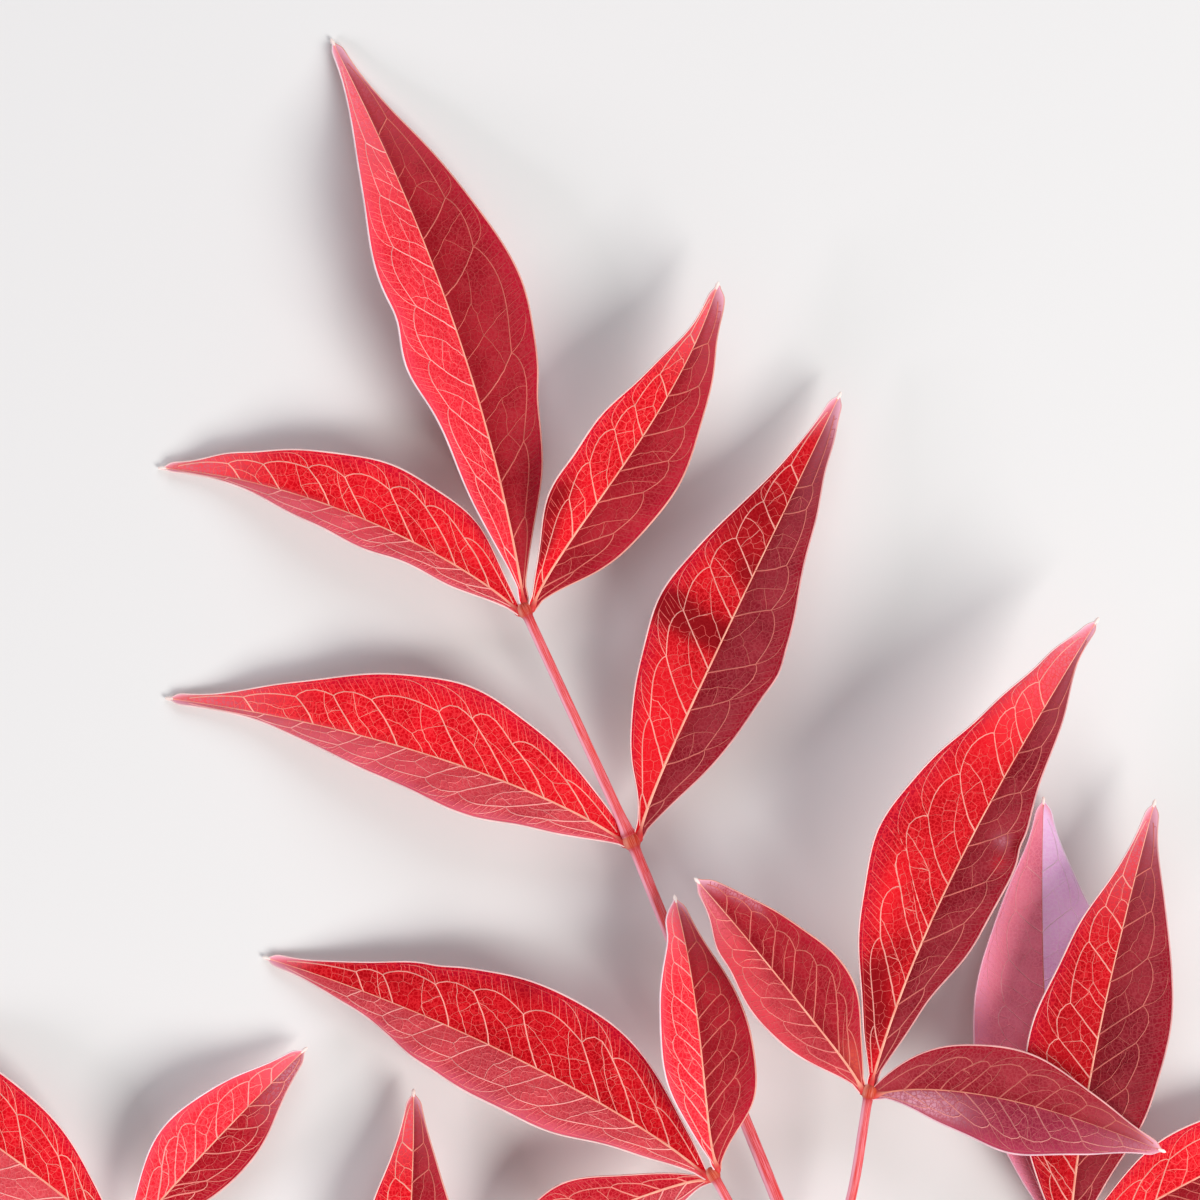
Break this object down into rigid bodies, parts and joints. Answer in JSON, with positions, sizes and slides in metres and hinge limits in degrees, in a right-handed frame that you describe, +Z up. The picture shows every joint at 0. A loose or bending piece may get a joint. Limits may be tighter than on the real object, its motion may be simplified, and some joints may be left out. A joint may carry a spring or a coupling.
{
  "type": "heavenly bamboo leaf spray",
  "caption": "Cut spray of a heavenly bamboo leaf in red autumn colour: a forked stalk with swollen joints and thin folded leaflets, lying flat.",
  "frame": {"origin": "on the table that the spray lies on, under the middle of its box", "axes": "+Z up from the table, +Y from the cut end towards the end leaflet, +X to the right seen from above"},
  "size_m": [0.1956, 0.2246, 0.0184],
  "materials": {
    "leaf_red": "satin autumn leaf",
    "stalk_red": "smooth waxy stalk"
  },
  "bodies": {
    "root": {"stalk_fork": "stalk_red", "stalk_middle": "stalk_red", "stalk_upper": "stalk_red", "stalk_top": "stalk_red", "stalk_crown_left": "stalk_red", "stalk_crown_right": "stalk_red", "stalk_left_inner": "stalk_red", "stalk_left_middle": "stalk_red", "stalk_left_outer": "stalk_red", "stalk_right_inner": "stalk_red", "stalk_right_outer": "stalk_red", "leaflet_top_end": "leaf_red", "leaflet_top_left": "leaf_red", "leaflet_top_right": "leaf_red", "leaflet_upper_left": "leaf_red", "leaflet_upper_right": "leaf_red", "leaflet_crown_left_end": "leaf_red", "leaflet_crown_left_right": "leaf_red", "leaflet_crown_left_left": "leaf_red", "leaflet_crown_right_end": "leaf_red", "leaflet_crown_right_left": "leaf_red", "leaflet_crown_right_right": "leaf_red", "leaflet_left_inner_up": "leaf_red", "leaflet_left_inner_down": "leaf_red", "leaflet_left_middle_up": "leaf_red", "leaflet_left_middle_down": "leaf_red", "leaflet_left_outer_end": "leaf_red", "leaflet_left_outer_right": "leaf_red", "leaflet_left_outer_left": "leaf_red", "leaflet_right_inner_left": "leaf_red", "leaflet_right_inner_right": "leaf_red", "leaflet_right_outer_left": "leaf_red", "leaflet_right_outer_end": "leaf_red", "leaflet_right_outer_right": "leaf_red"}
  },
  "joints": []
}
